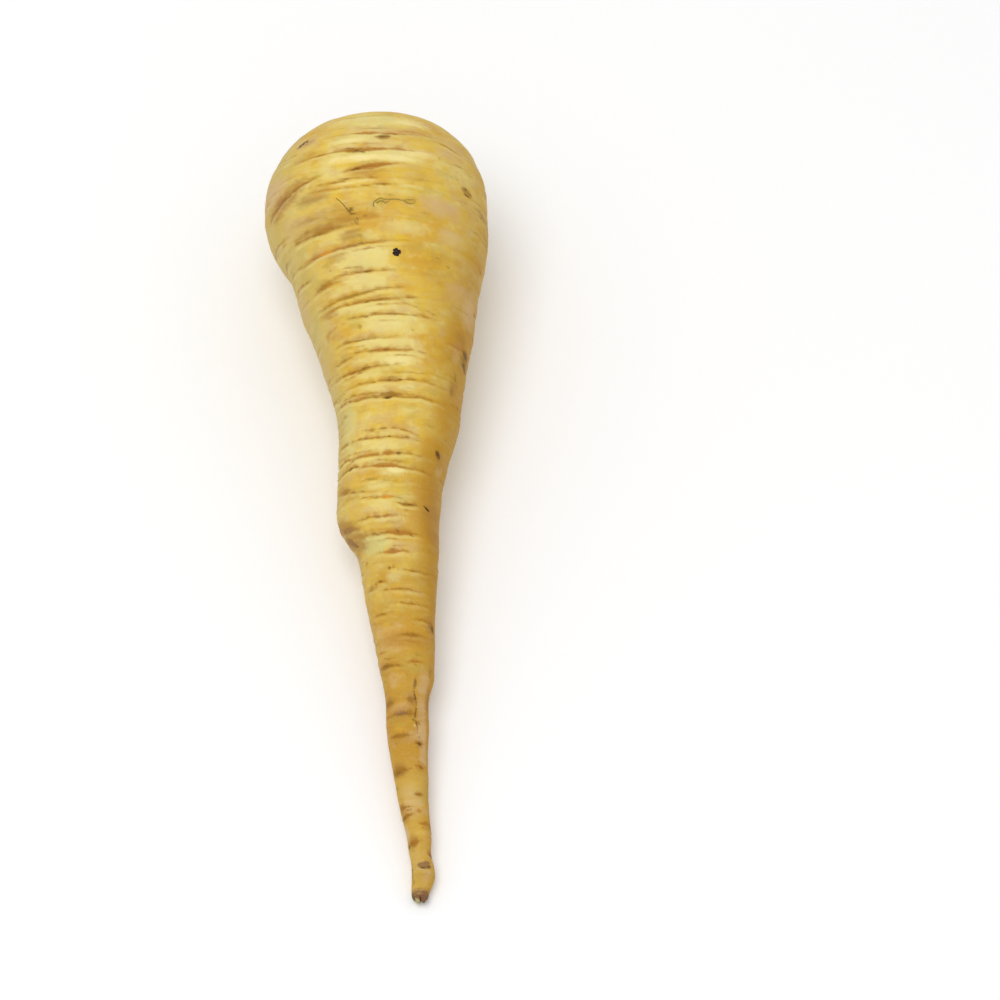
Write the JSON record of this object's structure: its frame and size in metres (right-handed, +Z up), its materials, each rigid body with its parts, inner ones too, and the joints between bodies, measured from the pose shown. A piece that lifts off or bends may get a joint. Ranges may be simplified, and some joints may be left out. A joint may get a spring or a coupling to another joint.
{
  "type": "parsnip",
  "caption": "Whole parsnip lying on its side: broad ring-creased shoulder, hollow crown with cut leaf stalks, and a long crooked tail that ends in a torn tip.",
  "frame": {"origin": "middle of the bounding box, at its bottom, on the surface that the root lies on", "axes": "+Z up, +Y along the root towards the crown, -Y towards the tip, +X to the right seen from above with the crown away"},
  "size_m": [0.0664, 0.2374, 0.066],
  "materials": {
    "parsnip_skin": "satin, washed root skin"
  },
  "bodies": {
    "root": {"parsnip_root": "parsnip_skin"}
  },
  "joints": []
}
